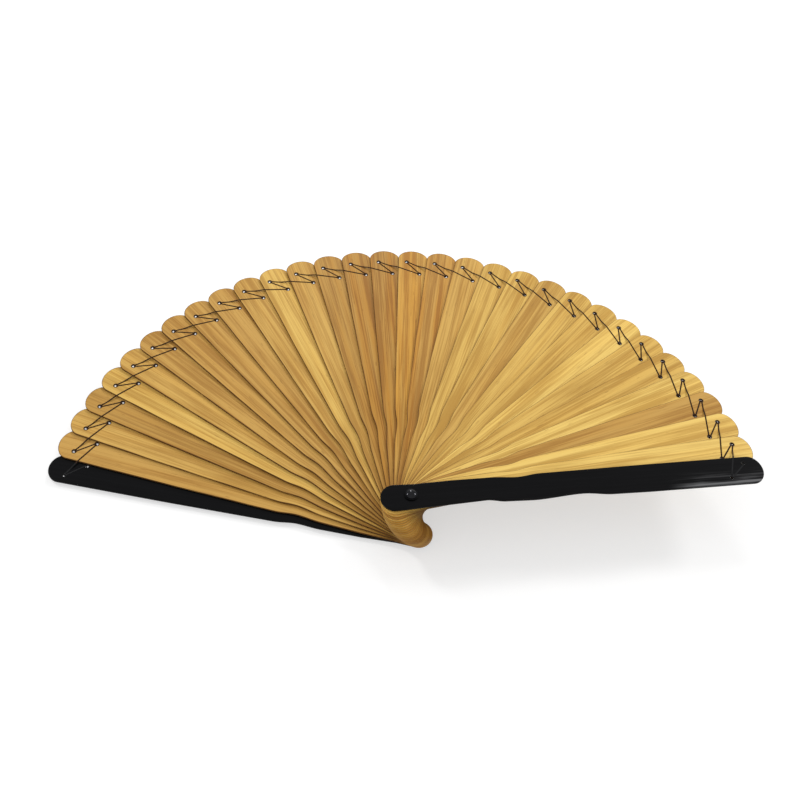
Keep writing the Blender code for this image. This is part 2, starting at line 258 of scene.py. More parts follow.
class FanGuardSettings(bpy.types.PropertyGroup):
    rounding: FloatProperty(
        name="Edge Rounding", description="Radius of a guard's rounded edges",
        default=0.55 * MM, min=0.1 * MM, max=0.9 * MM, subtype="DISTANCE", unit="LENGTH")
    # Painted sheen: the grey of the front guard's painted highlight band and streaks near its tip
    painted_sheen_colour: FloatVectorProperty(
        name="Brushed Sheen", description="Colour of the worn grey streaks near the tips",
        default=(0.17, 0.17, 0.175), min=0.0, max=1.0, size=3, subtype="COLOR")


class FanRivetSettings(bpy.types.PropertyGroup):
    crown_rise: FloatProperty(
        name="Crown Rise", description="Height of the head's low dome over its rim",
        default=0.9 * MM, min=0.1 * MM, max=0.95 * MM, subtype="DISTANCE", unit="LENGTH")
    turning_steps: IntProperty(
        name="Turning Steps", description="Facets round the rivet and the washers",
        default=72, min=24, max=128)


class FanLacingSettings(bpy.types.PropertyGroup):
    thickness: FloatProperty(
        name="Thread Thickness", description="Thickness of the round thread as it passes a hole",
        default=0.66 * MM, min=0.2 * MM, max=0.70 * MM, subtype="DISTANCE", unit="LENGTH")
    pressed_width: FloatProperty(
        name="Pressed Width", description="Width of the thread where it lies between two leaves",
        default=0.95 * MM, min=0.2 * MM, max=1.1 * MM, subtype="DISTANCE", unit="LENGTH")
    pressed_height: FloatProperty(
        name="Pressed Height", description="Height of the thread where it lies between two leaves",
        default=0.08 * MM, min=0.05 * MM, max=0.09 * MM, subtype="DISTANCE", unit="LENGTH")
    bend: FloatProperty(
        name="Bend", description="How far before a corner the thread starts to turn",
        default=0.45 * MM, min=0.1 * MM, max=0.8 * MM, subtype="DISTANCE", unit="LENGTH")
    ply_pitch: FloatProperty(
        name="Ply Pitch", description="Length of one turn of the twisted plies",
        default=1.6 * MM, min=0.5 * MM, max=5.0 * MM, subtype="DISTANCE", unit="LENGTH")


class FanStageSettings(bpy.types.PropertyGroup):
    floor_size: FloatProperty(
        name="Floor Size", description="Length of the square floor's side",
        default=6.0, min=1.0, max=20.0, subtype="DISTANCE", unit="LENGTH")
    floor_colour: FloatVectorProperty(
        name="Floor", description="Colour of the pale floor",
        default=(0.56, 0.56, 0.56), min=0.0, max=1.0, size=3, subtype="COLOR")
    sky_level: FloatProperty(
        name="Sky Level", description="Strength of the soft light from all round",
        default=0.62, min=0.0, max=2.0)
    key_power: FloatProperty(
        name="Key Power", description="Power of the lamp at the upper right",
        default=9.2, min=0.0, max=200.0, subtype="POWER", unit="POWER")
    fill_power: FloatProperty(
        name="Fill Power", description="Power of the two weaker lamps",
        default=3.5, min=0.0, max=200.0, subtype="POWER", unit="POWER")
    elevation: FloatProperty(
        name="Elevation", description="Camera's height angle over the fan's plane",
        default=math.radians(52.283), subtype="ANGLE", unit="ROTATION")
    azimuth: FloatProperty(
        name="Azimuth", description="Camera's turn round the rivet's axis",
        default=math.radians(-7.526), subtype="ANGLE", unit="ROTATION")
    roll: FloatProperty(
        name="Roll", description="Camera's turn about its own line of sight",
        default=math.radians(-9.894), subtype="ANGLE", unit="ROTATION")
    distance: FloatProperty(
        name="Distance", description="From the camera to the point it looks at",
        default=0.67422, min=0.1, max=5.0, subtype="DISTANCE", unit="LENGTH")
    focal_length: FloatProperty(
        name="Focal Length", description="Camera lens in millimetres on a 36 mm sensor",
        default=46.514, min=10.0, max=200.0)


# Shader expressions

class Socket:
    """A node's output; arithmetic on it adds Math nodes to the same surface."""

    def __init__(self, surface, output):
        self.surface = surface
        self.output = output

    def __add__(self, other):
        return self.surface.math("ADD", self, other)

    def __radd__(self, other):
        return self.surface.math("ADD", other, self)

    def __sub__(self, other):
        return self.surface.math("SUBTRACT", self, other)

    def __rsub__(self, other):
        return self.surface.math("SUBTRACT", other, self)

    def __mul__(self, other):
        return self.surface.math("MULTIPLY", self, other)

    def __rmul__(self, other):
        return self.surface.math("MULTIPLY", other, self)


class Surface:
    """A node tree with its shader, and one method that adds any other node."""

    def __init__(self, owner, shader):
        owner.use_nodes = True
        self.tree = owner.node_tree
        self.shader = self.tree.nodes[shader]

    def node(self, kind, settings=None, inputs=None, output=0):
        made = self.tree.nodes.new(kind)
        for name, value in (settings or {}).items():
            setattr(made, name, value)
        for key, value in (inputs or {}).items():
            self.feed(made.inputs[key], value)
        return Socket(self, made.outputs[output])

    def feed(self, socket, value):
        if isinstance(value, Socket):
            self.tree.links.new(value.output, socket)
        else:
            socket.default_value = value

    def finish(self, **values):
        """Feeds the shader's sockets, base_color meaning Base Color and so on."""
        for name, value in values.items():
            label = name.replace("_", " ").title().replace("Ior", "IOR")
            self.feed(self.shader.inputs[label], value)

    def math(self, operation, *values):
        return self.node("ShaderNodeMath", {"operation": operation}, dict(enumerate(values)))

    def vector(self, operation, *values, output="Vector"):
        settings = {"operation": operation}
        return self.node("ShaderNodeVectorMath", settings, dict(enumerate(values)), output)

    def attribute(self, name, output="Fac"):
        return self.node("ShaderNodeAttribute", {"attribute_name": name}, output=output)

    def part(self, vector, index):
        return self.node("ShaderNodeSeparateXYZ", None, {0: vector}, index)

    def noise(self, vector, fineness, detail=2.0, roughness=0.5):
        values = {"Vector": self.vector("MULTIPLY", vector, fineness), "Scale": 1.0,
                  "Detail": detail, "Roughness": roughness}
        return self.node("ShaderNodeTexNoise", None, values)

    def ramp(self, value, low, high):
        """0 below low, 1 above high, with a soft start and end."""
        settings = {"interpolation_type": "SMOOTHSTEP", "clamp": True}
        values = {0: value, 1: low, 2: high, 3: 0.0, 4: 1.0}
        return self.node("ShaderNodeMapRange", settings, values)

    def mixed(self, share, first, second, blend="MIX"):
        settings = {"data_type": "RGBA", "blend_type": blend, "clamp_factor": True}
        return self.node("ShaderNodeMix", settings, {0: share, 6: first, 7: second}, 2)

    def bump(self, height, distance):
        values = {"Height": height, "Distance": distance, "Strength": 1.0}
        return self.node("ShaderNodeBump", None, values)


def rgba(colour, share=1.0):
    return (*[min(1.0, part * share) for part in colour], 1.0)


def tinted(colour, tint):
    return rgba([part * share for part, share in zip(colour, tint)])


def new_surface(name):
    return Surface(bpy.data.materials.new(name), "Principled BSDF")


def own_grain(surface, grain, strip):
    """Grain coordinates, moved on by the strip number."""
    moved = {axis: strip * shift for axis, shift in enumerate(GRAIN_SHIFT)}
    return surface.vector("ADD", grain, surface.node("ShaderNodeCombineXYZ", None, moved))


# Finishes

def bamboo(name, colour, scorch_colour, contrast):
    """Sanded bamboo strip: fine fibres, broader bands, dark flecks and scorched cut edges."""
    surface = new_surface(name)
    strip = surface.attribute("strip")
    rim = surface.attribute("rim")
    grain = surface.attribute("grain", "Vector")
    reach = surface.part(grain, 0)
    own = own_grain(surface, grain, strip)

    fibres = surface.noise(own, FIBRES, 3.0, 0.6)
    bands = surface.noise(own, BANDS)
    clouds = surface.noise(own, CLOUDS)
    streaks = surface.ramp(bands * 0.40 + fibres * 0.38 + clouds * 0.22, 0.34, 0.66)
    warm_leaf = (surface.ramp(strip, *WARM_LEAVES_START)
                 * (1.0 - surface.ramp(strip, *WARM_LEAVES_END)))
    # Painted light: the leaves at the left are lightened where the key lamp lights them less
    left_leaves_lightened = 1.0 - surface.ramp(strip, *LIGHTENED_LEAVES_END)
    share = (streaks - 0.5) * (warm_leaf * 0.5 + 1.0) * contrast + (left_leaves_lightened * 0.14 + 0.5)
    wood = surface.mixed(share, tinted(colour, DARK_GRAIN), tinted(colour, LIGHT_GRAIN))

    flecks = surface.ramp(surface.noise(own, FLECKS, 1.0, 0.4), 0.70, 0.78)
    wood = surface.mixed(flecks * 0.45, wood, tinted(colour, FLECK_TINT))
    veins = surface.ramp(surface.noise(own, VEINS, 0.0), 0.70, 0.76)
    wood = surface.mixed(veins * 0.38, wood, tinted(colour, VEIN_TINT))
    warm = (surface.ramp(surface.noise(own, WARM_PATCHES), 0.40, 0.62) * (warm_leaf * 0.45 + 0.20)
            + warm_leaf * 0.25)
    wood = surface.mixed(warm, wood, rgba(WARM_WASH), "MULTIPLY")
    # Darker and browner towards the rivet
    near_rivet = 1.0 - surface.ramp(reach, *NEAR_RIVET_END)
    wood = surface.mixed(near_rivet * 0.40, wood, rgba(NEAR_RIVET_TINT), "MULTIPLY")
    # Sanded tail, partly painted light: lighter, more orange and less scorched where it sits in
    # shade
    sanded_and_painted_light = 1.0 - surface.ramp(reach, *SANDED_PAINTED_LIGHT_END)
    wood = surface.mixed(sanded_and_painted_light * 0.65, wood, tinted(colour, SANDED_PAINTED_LIGHT_TINT))

    # The scorched rim is uneven, and on the leaves at the left it is widened by painted shadow of
    # their edges
    painted_edge_shadow = 1.0 - surface.ramp(strip, *PAINTED_EDGE_SHADOW_END)
    edge = 1.0 - (1.0 - rim) * (1.7 - painted_edge_shadow * 0.8)
    patch = surface.ramp(surface.noise(own, SCORCH_PATCHES, 1.0), 0.2, 0.8)
    burnt = surface.ramp(edge * (0.75 + patch * 0.5), 0.45, 1.0) * (1.0 - sanded_and_painted_light * 0.85)
    wood = surface.mixed(burnt * 0.92, wood, rgba(scorch_colour))

    # Charred walls in the lacing holes, and a ring round each
    charred = surface.ramp(rim, 0.85, 1.35)
    flat = surface.vector("MULTIPLY", grain, (1.0, 1.0, 0.0))
    for hole in LACING_HOLES:
        gap = surface.vector("DISTANCE", flat, tuple(hole), output="Value")
        charred = charred + (1.0 - surface.ramp(gap, *CHARRED_RING)) * 0.85
    wood = surface.mixed(charred, wood, rgba(CHAR))

    relief = fibres * 0.6 - flecks * 0.5
    surface.finish(base_color=wood, roughness=0.46 + fibres * 0.16 + burnt * 0.2,
                   specular_ior_level=0.2, normal=surface.bump(relief, 0.03 * MM))


def black_lacquer(name, colour, painted_sheen_colour):
    """Black lacquer over wood: brush streaks, worn edges and a painted grey sheen near the front
    guard's tip.
    """
    surface = new_surface(name)
    strip = surface.attribute("strip")
    rim = surface.attribute("rim")
    grain = surface.attribute("grain", "Vector")
    reach = surface.part(grain, 0)
    drop = surface.part(grain, 1) * -1.0
    own = own_grain(surface, grain, strip)

    strokes = surface.noise(own, STROKES, 3.0, 0.6)
    cloud = surface.noise(own, LACQUER_CLOUDS)
    # Painted sheen near the front guard's tip: a highlight band along its lower edge and grey
    # streaks, partly wear
    on_front_guard = surface.ramp(strip, 1.0, 2.0)
    sheen_band = surface.ramp(drop, *SHEEN_BAND_START) * (1.0 - surface.ramp(drop, *SHEEN_BAND_END))
    sheen_band = sheen_band * cloud * surface.ramp(strokes, 0.3, 0.6) * 1.6
    sheen_streaks = surface.ramp(strokes + cloud * 0.4, 0.62, 0.86) * surface.ramp(drop, *SHEEN_STREAKS_HALF)
    wear_and_sheen = on_front_guard * surface.ramp(reach, *WEAR_AND_SHEEN_REACH) * (sheen_band + sheen_streaks * 0.5)
    tone = surface.mixed(wear_and_sheen, rgba(colour, 0.5), rgba(painted_sheen_colour))
    worn = surface.ramp(rim * cloud, 0.50, 0.75)
    tone = surface.mixed(worn * 0.35, tone, rgba(EDGE_WEAR))
    tone = surface.mixed(surface.ramp(strokes, 0.3, 0.8) * 0.3, tone, rgba(STROKE_BLACK))

    relief = strokes * 0.5 + cloud * 0.8
    surface.finish(base_color=tone, roughness=0.18 + strokes * 0.10 + wear_and_sheen * 0.2,
                   specular_ior_level=0.045, normal=surface.bump(relief, 0.04 * MM))


def blackened_steel(name, colour):
    """Blackened steel with fine turning marks, polished on the head and dull further out."""
    surface = new_surface(name)
    place = surface.node("ShaderNodeTexCoord", output="Object")
    flat = surface.vector("MULTIPLY", place, (1.0, 1.0, 0.0))
    radius = surface.vector("LENGTH", flat, output="Value")
    rings = surface.math("SINE", radius * TURNING_MARKS)
    spots = surface.noise(place, SPOTS)
    dull = surface.ramp(radius, *POLISHED_END)
    spotted = surface.ramp(spots, 0.45, 0.8) * 0.5
    polished = surface.mixed(spotted, rgba(colour, 0.35), rgba(colour, 0.55))
    tone = surface.mixed(dull, polished, rgba(colour, 0.12))
    surface.finish(base_color=tone, metallic=1.0, roughness=0.04 + spots * 0.05 + dull * 0.35,
                   normal=surface.bump(rings * 0.3 + spots, 0.001 * MM))


def dark_thread(name, colour, pitch):
    """Waxed thread of two twisted plies, black where it lies on the guards."""
    surface = new_surface(name)
    lay = surface.attribute("lay", "Vector")
    around = surface.math("ARCTAN2", surface.part(lay, 1), surface.part(lay, 0))
    plies = surface.math("SINE", around * 2.0 + surface.part(lay, 2) * (2 * math.pi / pitch))
    hairs = surface.noise(lay, HAIRS)
    lit = surface.ramp(plies * 0.35 + hairs, 0.1, 0.95)
    tone = surface.mixed(lit, rgba(colour, 0.55), rgba(colour, 1.7))

    height = surface.part(surface.node("ShaderNodeTexCoord", output="Object"), 2)
    on_front = surface.ramp(height, leaf_top(LAST) - FRONT_FADE, leaf_top(LAST))
    on_back = 1.0 - surface.ramp(height, *[leaf_top(0) + fade for fade in BACK_FADE])
    tone = surface.mixed(on_front + on_back, tone, rgba(THREAD_BLACK))
    surface.finish(base_color=tone, roughness=0.62 + hairs * 0.2, specular_ior_level=0.05,
                   normal=surface.bump(plies + hairs * 0.5, 0.04 * MM))


def finish_for(slot):
    """The material of one of the record's slots, made when it is first asked for."""
    name = slot + "_finish"
    if name not in bpy.data.materials:
        scene = bpy.context.scene
        colour = COLOURS[slot]
        if slot.startswith("bamboo"):
            blades = scene.fan_blades
            bamboo(name, colour, tuple(blades.scorch_colour), blades.contrast)
        elif slot == "black_lacquer":
            black_lacquer(name, colour, tuple(scene.fan_guards.painted_sheen_colour))
        elif slot == "blackened_steel":
            blackened_steel(name, colour)
        else:
            dark_thread(name, colour, scene.fan_lacing.ply_pitch)
    return bpy.data.materials[name]


# Leaves

def leaf_direction(leaf):
    return FIRST_DIRECTION - sum(STEPS[:leaf])


def leaf_bottom(leaf):
    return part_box(LEAVES[leaf])[0].z


def leaf_top(leaf):
    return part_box(LEAVES[leaf])[1].z


def placed(leaf, height):
    """From a leaf's own frame into the open fan, at a height."""
    turn = Matrix.Rotation(leaf_direction(leaf), 4, "Z")
    return Matrix.Translation((0.0, 0.0, height)) @ turn


def edge_points(stations, neck_widening, tip_widening):
    """An edge's points as (reach, half width) in metres, with its S-shaped runs filled in."""
    points = []
    for (reach, width, s_run), following in zip(stations, stations[1:] + stations[-1:]):
        for step in range(S_RUN_STEPS if s_run else 1):
            share = step / S_RUN_STEPS
            rise = share * share * (3 - 2 * share)
            points.append(((reach + (following[0] - reach) * share) * MM,
                           (width + (following[1] - width) * rise) * MM))
    widening = tip_widening - neck_widening
    return [(reach, width - SANDED_OFF + neck_widening
             + widening * max(0.0, reach / TIP_BASE_REACH))
            for reach, width in points]


def dome(base, depth, right_width, left_width, steps):
    """Half an ellipse from the right edge over the leaf's end to the left edge."""
    middle = (left_width - right_width) / 2
    half_width = (left_width + right_width) / 2
    turns = [math.pi * step / steps for step in range(steps + 1)]
    return [Vector((base + depth * math.sin(turn), middle - half_width * math.cos(turn), 0.0))
            for turn in turns]


def leaf_outline(neck_widening, tip_widening):
    """A leaf's closed outline, counter-clockwise, in its own frame."""
    right = edge_points(RIGHT_EDGE, neck_widening, tip_widening)
    left = edge_points(LEFT_EDGE, neck_widening, tip_widening)
    tip = dome(TIP_BASE_REACH, TIP_DOME_DEPTH - SANDED_OFF, right[-1][1], left[-1][1],
               TIP_DOME_STEPS)
    tail = dome(left[0][0], SANDED_OFF - TAIL_DOME_DEPTH, right[0][1], left[0][1],
                TAIL_DOME_STEPS)
    lower = [Vector((reach, -width, 0.0)) for reach, width in right[1:-1]]
    upper = [Vector((reach, width, 0.0)) for reach, width in left[-2:0:-1]]
    return lower + tip + upper + tail[::-1]


def cut_plate(height, neck_widening, tip_widening):
    """A leaf with its three holes and square edges, standing on z = 0."""
    plate = bmesh.new()
    corners = [plate.verts.new(point) for point in leaf_outline(neck_widening, tip_widening)]
    for first, second in zip(corners, corners[1:] + corners[:1]):
        plate.edges.new((first, second))
    bmesh.ops.create_circle(plate, segments=PIVOT_HOLE_SIDES, radius=PIVOT_HOLE_RADIUS)
    for hole in LACING_HOLES:
        bmesh.ops.create_circle(plate, segments=HOLE_SIDES, radius=HOLE_RADIUS,
                                matrix=Matrix.Translation(hole))
    bmesh.ops.triangle_fill(plate, edges=plate.edges[:], use_beauty=True)
    raised = bmesh.ops.extrude_face_region(plate, geom=plate.faces[:])
    lifted = [item for item in raised["geom"] if isinstance(item, bmesh.types.BMVert)]
    bmesh.ops.translate(plate, verts=lifted, vec=(0.0, 0.0, height))
    return plate


def inset(plate, faces, thickness, depth=0.0):
    bmesh.ops.inset_region(plate, faces=faces, use_boundary=True, use_even_offset=True,
                           thickness=thickness, depth=depth)


def leaf_plate(thickness, neck_widening, tip_widening, rounding, rim_width):
    """A leaf in its own frame, standing on z = 0, with rounded edges and a rim on both faces."""
    plate = cut_plate(thickness - 2 * rounding, neck_widening, tip_widening)
    bmesh.ops.translate(plate, verts=plate.verts[:], vec=(0.0, 0.0, rounding))
    bmesh.ops.recalc_face_normals(plate, faces=plate.faces[:])
    caps = [face for face in plate.faces if abs(face.normal.z) > CAP_FACING]
    segments = FINE_SEGMENTS if rounding < FINE_ROUNDING else BROAD_SEGMENTS
    turns = [math.pi / 2 * step / segments for step in range(segments + 1)]
    for low, high in zip(turns, turns[1:]):
        inset(plate, caps, rounding * (math.cos(low) - math.cos(high)),
              rounding * (math.sin(high) - math.sin(low)))
    inset(plate, caps, rim_width)
    for face in plate.faces:
        face.smooth = abs(face.normal.z) < FLAT_FACING

    rim = plate.verts.layers.float.new("rim")
    grain = plate.verts.layers.float_vector.new("grain")
    for vert in plate.verts:
        at_hole = any((vert.co - hole).xy.length < HOLE_RADIUS + rim_width / 2
                      for hole in LACING_HOLES)
        vert[rim] = RIM_HOLE if at_hole else RIM_CUT
        vert[grain] = vert.co
    for face in caps:
        for vert in face.verts:
            vert[rim] = RIM_NONE
    return plate


def new_piece(name, shape, node):
    """Makes a finished mesh the piece that stands for a plain node, in that node's finish."""
    mesh = bpy.data.meshes.new(name)
    shape.to_mesh(mesh)
    shape.free()
    slot = SLOTS[node]
    mesh.materials.append(finish_for(slot))
    piece = bpy.data.objects.new(name, mesh)
    bpy.context.scene.collection.objects.link(piece)
    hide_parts(node)
    return piece


def add_leaf(leaf, plate):
    """Puts a copy of the plate in its place in the open fan, instead of the plain leaf."""
    node = LEAVES[leaf]
    shape = plate.copy()
    strip = shape.verts.layers.float.new("strip")
    for vert in shape.verts:
        vert[strip] = float(leaf)
    bmesh.ops.transform(shape, matrix=placed(leaf, leaf_bottom(leaf)), verts=shape.verts[:])
    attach(new_piece(node + "_dressed", shape, node), node + "_body")


class FAN_OT_add_blades(bpy.types.Operator):
    """Lay the laser-cut bamboo blades between the two guards"""
    bl_idname = "fan.add_blades"
    bl_label = "Add Blades"

    def execute(self, context):
        settings = context.scene.fan_blades
        thickness = leaf_top(1) - leaf_bottom(1)
        plate = leaf_plate(thickness, BLADE_NECK_WIDENING, BLADE_TIP_WIDENING,
                           settings.rounding, settings.scorch_width)
        for leaf in range(1, LAST):
            add_leaf(leaf, plate)
        plate.free()
        return {"FINISHED"}


class FAN_OT_add_guards(bpy.types.Operator):
    """Add the two thicker black guard sticks at the back and the front"""
    bl_idname = "fan.add_guards"
    bl_label = "Add Guards"

    def execute(self, context):
        thickness = leaf_top(0) - leaf_bottom(0)
        plate = leaf_plate(thickness, 0.0, 0.0, context.scene.fan_guards.rounding,
                           GUARD_RIM_WIDTH)
        add_leaf(0, plate)
        add_leaf(LAST, plate)
        plate.free()
        return {"FINISHED"}


# Rivet and washers

def add_turned(node, profile, steps):
    """A solid of revolution about the rivet's axis from (radius, height) points."""
    shape = bmesh.new()
    points = [shape.verts.new((radius, 0.0, height)) for radius, height in profile]
    if profile[0][0] > 0.0:
        points.append(points[0])
    for first, second in zip(points, points[1:]):
        shape.edges.new((first, second))
    bmesh.ops.spin(shape, geom=shape.verts[:] + shape.edges[:], cent=(0.0, 0.0, 0.0),
                   axis=(0.0, 0.0, 1.0), dvec=(0.0, 0.0, 0.0), angle=2 * math.pi, steps=steps,
                   use_merge=True)
    bmesh.ops.remove_doubles(shape, verts=shape.verts[:], dist=0.001 * MM)
    bmesh.ops.recalc_face_normals(shape, faces=shape.faces[:])
    corners = [edge for edge in shape.edges
               if edge.is_manifold and edge.calc_face_angle() > BEVELLED_FROM]
    bmesh.ops.bevel(shape, geom=corners, offset=TURNED_BEVEL, offset_type="OFFSET", segments=2,
                    profile=0.5, affect="EDGES", material=-1)
    for face in shape.faces:
        face.smooth = True
    piece = new_piece(node + "_dressed", shape, node)
    piece.data.set_sharp_from_angle(angle=SHARP_FROM)
    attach(piece, "guard_back_body")


class FAN_OT_add_rivet(bpy.types.Operator):
    """Add the turned rivet with its low domed head and the two washers"""
    bl_idname = "fan.add_rivet"
    bl_label = "Add Rivet and Washers"

    def execute(self, context):
        settings = context.scene.fan_rivet
        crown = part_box("rivet")[1].z
        under = crown - HEAD_HEIGHT
        bow = (HEAD_RADIUS ** 2 + settings.crown_rise ** 2) / (2 * settings.crown_rise)
        radii = [HEAD_RADIUS * step / CROWN_STEPS for step in range(CROWN_STEPS + 1)]
        profile = [(radius, crown - bow + math.sqrt(bow ** 2 - radius ** 2)) for radius in radii]
        profile += [(HEAD_RADIUS, under), (SHANK_RADIUS, under), (SHANK_RADIUS, END_HEIGHT),
                    (END_RADIUS, END_HEIGHT), (END_RADIUS, 0.0), (0.0, 0.0)]
        add_turned("rivet", profile, settings.turning_steps)
        for node in ("washer_back", "washer_front"):
            low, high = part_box(node)
            profile = [(PIVOT_HOLE_RADIUS, high.z), (high.x, high.z), (high.x, low.z),
                       (PIVOT_HOLE_RADIUS, low.z)]
            add_turned(node, profile, settings.turning_steps)
        return {"FINISHED"}


# Lacing

def strands(leaf):
    """Where the two strands pass a leaf's holes, pulled together where the thread is taut."""
    run = OUTER_HOLE - INNER_HOLE
    side = Vector((run.y, -run.x, 0.0)).normalized() * (STRAND_SPACING / 2)
    pull = run.normalized() * (TAUT_PULL if 0 < leaf <= LAST_TAUT_LEAF else SLACK_PULL)
    return {"outer_right": OUTER_HOLE - pull + side, "outer_left": OUTER_HOLE - pull - side,
            "inner_right": INNER_HOLE + pull + side, "inner_left": INNER_HOLE + pull - side}


def in_fan(leaf, strand, height):
    return placed(leaf, height) @ strands(leaf)[strand]


def crossing(start, end, leaf, offset, height):
    """The point of the run from start to end over a leaf's line y = offset, at a height."""
    direction = leaf_direction(leaf)
    across = Vector((-math.sin(direction), math.cos(direction), 0.0))
    share = (offset - across.dot(start)) / across.dot(end - start)
    point = start.lerp(end, share)
    point.z = height
    return point


def half_width_at_holes(leaf):
    widening = BLADE_TIP_WIDENING if 0 < leaf < LAST else 0.0
    return LEFT_EDGE[-1][1] * MM + widening


def past(corner, towards, length):
    return corner + (towards - corner).normalized() * length


def ducked(corner, way_out):
    """From a strand's corner under a leaf, level until it is past the other strand."""
    return past(corner, Vector((way_out.x, way_out.y, corner.z)), LEVEL_BELOW)


def rounded(points, bend):
    """The path with each inner corner turned into a short curve."""
    path = [points[0]]
    for before, corner, after in zip(points, points[1:], points[2:]):
        reach = min(bend, (corner - before).length * LONGEST_CORNER_SHARE,
                    (after - corner).length * LONGEST_CORNER_SHARE)
        start = past(corner, before, reach)
        end = past(corner, after, reach)
        for step in range(CORNER_STEPS + 1):
            share = step / CORNER_STEPS
            path.append(start.lerp(corner, share).lerp(corner.lerp(end, share), share))
    path.append(points[-1])
    return path


def spaced(points, longest):
    """The path with its long runs cut into equal lengths."""
    path = [points[0]]
    for first, second in zip(points, points[1:]):
        count = max(1, math.ceil((second - first).length / longest))
        path += [first.lerp(second, step / count) for step in range(1, count + 1)]
    return path


def pressed(offset, heading, settings):
    """A point of the thread's round section, pressed flat as far as the thread lies level."""
    level = heading.xy.length_squared
    normal = Vector((0.0, 0.0, 1.0)) - heading * heading.z
    if normal.length < 1e-6:
        return offset
    normal.normalize()
    height = offset.dot(normal)
    side = offset - normal * height
    wider = settings.pressed_width / settings.thickness
    lower = settings.pressed_height / settings.thickness
    return side * (1 + level * (wider - 1)) + normal * height * (1 + level * (lower - 1))


def add_thread(shape, path, settings):
    """Draws a length of thread along the path by extruding its end face from point to point."""
    layers = shape.verts.layers.float_vector
    lay = layers.get("lay") or layers.new("lay")
    radius = settings.thickness / 2
    heading = (path[1] - path[0]).normalized()
    turn = heading.to_track_quat("Z", "Y").to_matrix()
    made = bmesh.ops.create_circle(shape, cap_ends=True, segments=THREAD_SIDES, radius=1.0)
    face = made["verts"][0].link_faces[0]
    for vert in made["verts"]:
        unit = vert.co.copy()
        vert[lay] = (unit.x, unit.y, 0.0)
        vert.co = path[0] + pressed(turn @ unit * radius, heading, settings)
    along = 0.0
    for index in range(1, len(path)):
        following = path[min(index + 1, len(path) - 1)]
        ahead = (following - path[index - 1]).normalized()
        turn = heading.rotation_difference(ahead).to_matrix() @ turn
        heading = ahead
        along += (path[index] - path[index - 1]).length
        raised = bmesh.ops.extrude_face_region(shape, geom=[face, *face.edges, *face.verts])
        face = next(item for item in raised["geom"] if isinstance(item, bmesh.types.BMFace))
        for vert in face.verts:
            unit = Vector((vert[lay].x, vert[lay].y, 0.0))
            vert[lay] = (unit.x, unit.y, along)
            vert.co = path[index] + pressed(turn @ unit * radius, heading, settings)


def lacing_piece(name, paths, settings):
    shape = bmesh.new()
    for path in paths:
        add_thread(shape, path, settings)
    bmesh.ops.recalc_face_normals(shape, faces=shape.faces[:])
    for face in shape.faces:
        face.smooth = len(face.verts) == 4
    return new_piece(name, shape, "lacing_thread")


class FAN_OT_add_lacing(bpy.types.Operator):
    """Lace the leaves near their tips with one flat waxed thread, there and back"""
    bl_idname = "fan.add_lacing"
    bl_label = "Add Lacing"

    def execute(self, context):
        settings = context.scene.fan_lacing
        lead = LEAD_IN_BENDS * settings.bend
        ends = {}
        for leaf in range(LAST):
            following = leaf + 1
            ends[leaf, "over_start"], ends[following, "over_end"] = self.add_run(
                f"lacing_over_{following:02d}",
                (leaf, "outer_right", leaf_top(leaf) + STRAND_RISE),
                (following, "inner_left", leaf_top(following) + STRAND_RISE),
                1, lead, settings)
            ends[following, "under_start"], ends[leaf, "under_end"] = self.add_run(
                f"lacing_under_{following:02d}",
                (following, "inner_right", leaf_bottom(following) - STRAND_RISE),
                (leaf, "outer_left", leaf_bottom(leaf) - STRAND_RISE),
                -1, LEAD_BELOW, settings)
        for leaf in range(LAST + 1):
            self.add_stitch(leaf, ends, settings)
        return {"FINISHED"}

    def add_run(self, name, first, second, side, lead, settings):
        """A run from one leaf over the next one's edge to its hole; returns where it is taken up.
        """
        start = in_fan(*first)
        end = in_fan(*second)
        leaf = second[0]
        edge = side * (half_width_at_holes(leaf) + OFF_THE_EDGE)
        foot = crossing(start, end, leaf, edge + side * CLIMB_LENGTH, start.z)
        settled = crossing(start, end, leaf, edge + side * SETTLED, start.z)
        crest = crossing(start, end, leaf, edge, end.z)
        handover = lead * HANDOVER_SHARE
        corners = [past(start, foot, handover), foot, crest, past(end, crest, handover)]
        path = spaced(rounded(corners, settings.bend), RUN_SPACING)
        piece = lacing_piece(name, [path], settings)
        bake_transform(piece)
        return past(start, foot, lead), past(end, crest, lead)

    def add_stitch(self, leaf, ends, settings):
        """The part of the lacing that lies against one leaf and passes its two holes."""
        top = leaf_top(leaf) + STRAND_RISE
        below = leaf_bottom(leaf) - STRAND_RISE
        low = leaf_bottom(leaf) - STRAND_SAG

        def at(strand, height):
            return in_fan(leaf, strand, height)

        arriving, leaving = [], []
        if leaf < LAST:
            way_in = ends[leaf, "under_end"]
            outer_low = at("outer_left", low)
            arriving = [way_in, ducked(outer_low, way_in), outer_low]
        if leaf > 0:
            way_out = ends[leaf, "under_start"]
            inner_low = at("inner_right", low)
            leaving = [inner_low, ducked(inner_low, way_out), way_out]

        if leaf == 0:
            ways = [arriving + [at("outer_left", top), at("inner_right", top),
                                at("inner_right", below), at("outer_right", below),
                                at("outer_right", top), ends[leaf, "over_start"]]]
        else:
            first_way = [ends[leaf, "over_end"], at("inner_left", top), at("inner_left", below),
                         at("outer_right", below), at("outer_right", top)]
            if leaf == LAST:
                ways = [first_way + [at("inner_right", top)] + leaving]
            else:
                ways = [first_way + [ends[leaf, "over_start"]],
                        arriving + [at("outer_left", top), at("inner_right", top)] + leaving]
        paths = [spaced(rounded(way, settings.bend), STITCH_SPACING) for way in ways]
        piece = lacing_piece(f"lacing_stitch_{leaf:02d}", paths, settings)
        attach(piece, LEAVES[leaf] + "_body")


# Stage

